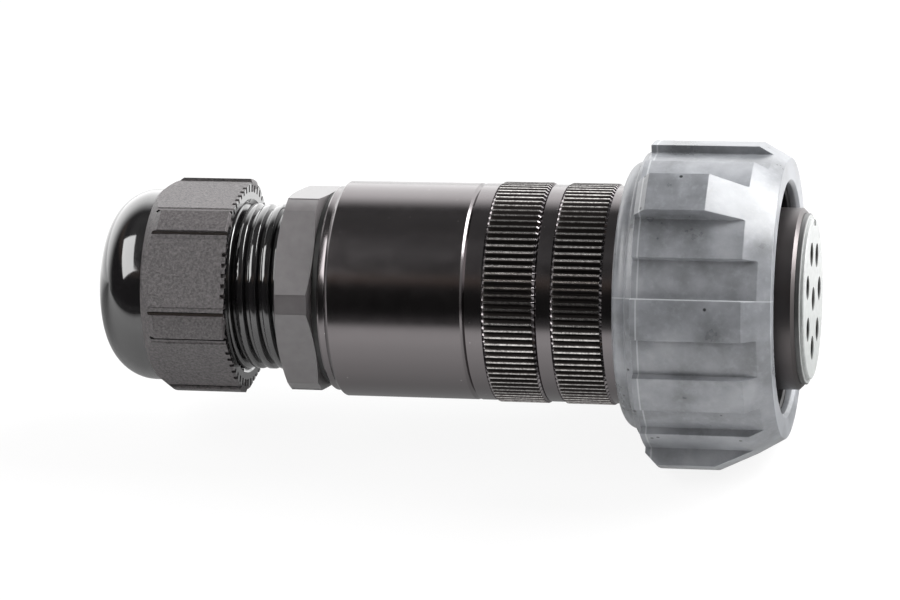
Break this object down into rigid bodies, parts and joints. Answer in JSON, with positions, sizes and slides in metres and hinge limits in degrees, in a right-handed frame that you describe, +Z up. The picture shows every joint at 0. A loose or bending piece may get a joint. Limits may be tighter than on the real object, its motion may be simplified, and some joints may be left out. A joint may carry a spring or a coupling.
{
  "type": "push pull circular connector plug",
  "caption": "Straight cable plug with a ribbed push pull coupling sleeve, insulator face with socket contacts, knurled backshell and domed cable gland.",
  "frame": {"origin": "centre of the mating face, on the plug's axis", "axes": "+X along the plug's axis out of the mating face, so the cable leaves towards -X; +Z up as the plug lies; +Y completes the right-handed frame"},
  "size_m": [0.1076, 0.0486, 0.0472],
  "materials": {
    "sleeve_plastic": "blue grey glass-filled nylon, moulded, mottled and slightly bloomed",
    "black_anodised": "turned aluminium, glossy black anodised",
    "liner_metal": "turned aluminium, satin black anodised",
    "insert_plastic": "pale grey moulded insulator",
    "gland_nylon": "dark grey nylon, fine matte moulded texture",
    "nut_nylon": "dark grey nylon, matte hexagon and polished dome",
    "slip_plastic": "natural acetal, turned",
    "seal_rubber": "black moulded rubber",
    "spring_steel": "bright stainless spring wire and strip",
    "latch_metal": "blackened spring steel",
    "lock_metal": "turned aluminium, dark anodised",
    "contact_brass": "turned brass, gold flashed"
  },
  "bodies": {
    "plug_body": {"return_spring": "spring_steel", "spring_seat": "spring_steel", "sleeve_stop_ring": "spring_steel", "latch_ring": "latch_metal", "mating_seal": "seal_rubber", "plug_shell": "black_anodised", "insert_front": "insert_plastic", "insert_rear": "insert_plastic", "insert_lock_ring": "lock_metal", "front_housing": "black_anodised", "shell_o_ring": "seal_rubber", "backshell": "black_anodised", "backshell_o_ring": "seal_rubber", "gland_gasket": "seal_rubber", "gland_body": "gland_nylon", "gland_seal": "seal_rubber", "contact_1": "contact_brass", "contact_2": "contact_brass", "contact_3": "contact_brass", "contact_4": "contact_brass", "contact_5": "contact_brass", "contact_6": "contact_brass", "contact_7": "contact_brass", "contact_8": "contact_brass"},
    "coupling_sleeve": {"coupling_sleeve": "sleeve_plastic", "sleeve_liner": "liner_metal"},
    "gland_slip_ring": {"gland_slip_ring": "slip_plastic"},
    "gland_nut": {"gland_nut": "nut_nylon"}
  },
  "joints": [
    {"name": "sleeve_pull", "type": "slide", "parent": "plug_body", "child": "coupling_sleeve", "axis": [-1, 0, 0], "range_m": [0, 0.003], "stiffness_N_per_m": 1200, "springref_m": -0.003, "deforming": ["return_spring"]},
    {"name": "gland_clamp", "type": "slide", "parent": "plug_body", "child": "gland_slip_ring", "axis": [1, 0, 0], "range_m": [-0.002, 0.004]},
    {"name": "gland_nut_turn", "type": "hinge", "parent": "gland_slip_ring", "child": "gland_nut", "pos_m": [-0.095, 0, 0], "axis": [1, 0, 0], "range_deg": [-361, 721]}
  ],
  "couplings": [
    {"joint": "gland_nut_turn", "follows": "gland_clamp", "rad_per_m": 3141.6}
  ]
}
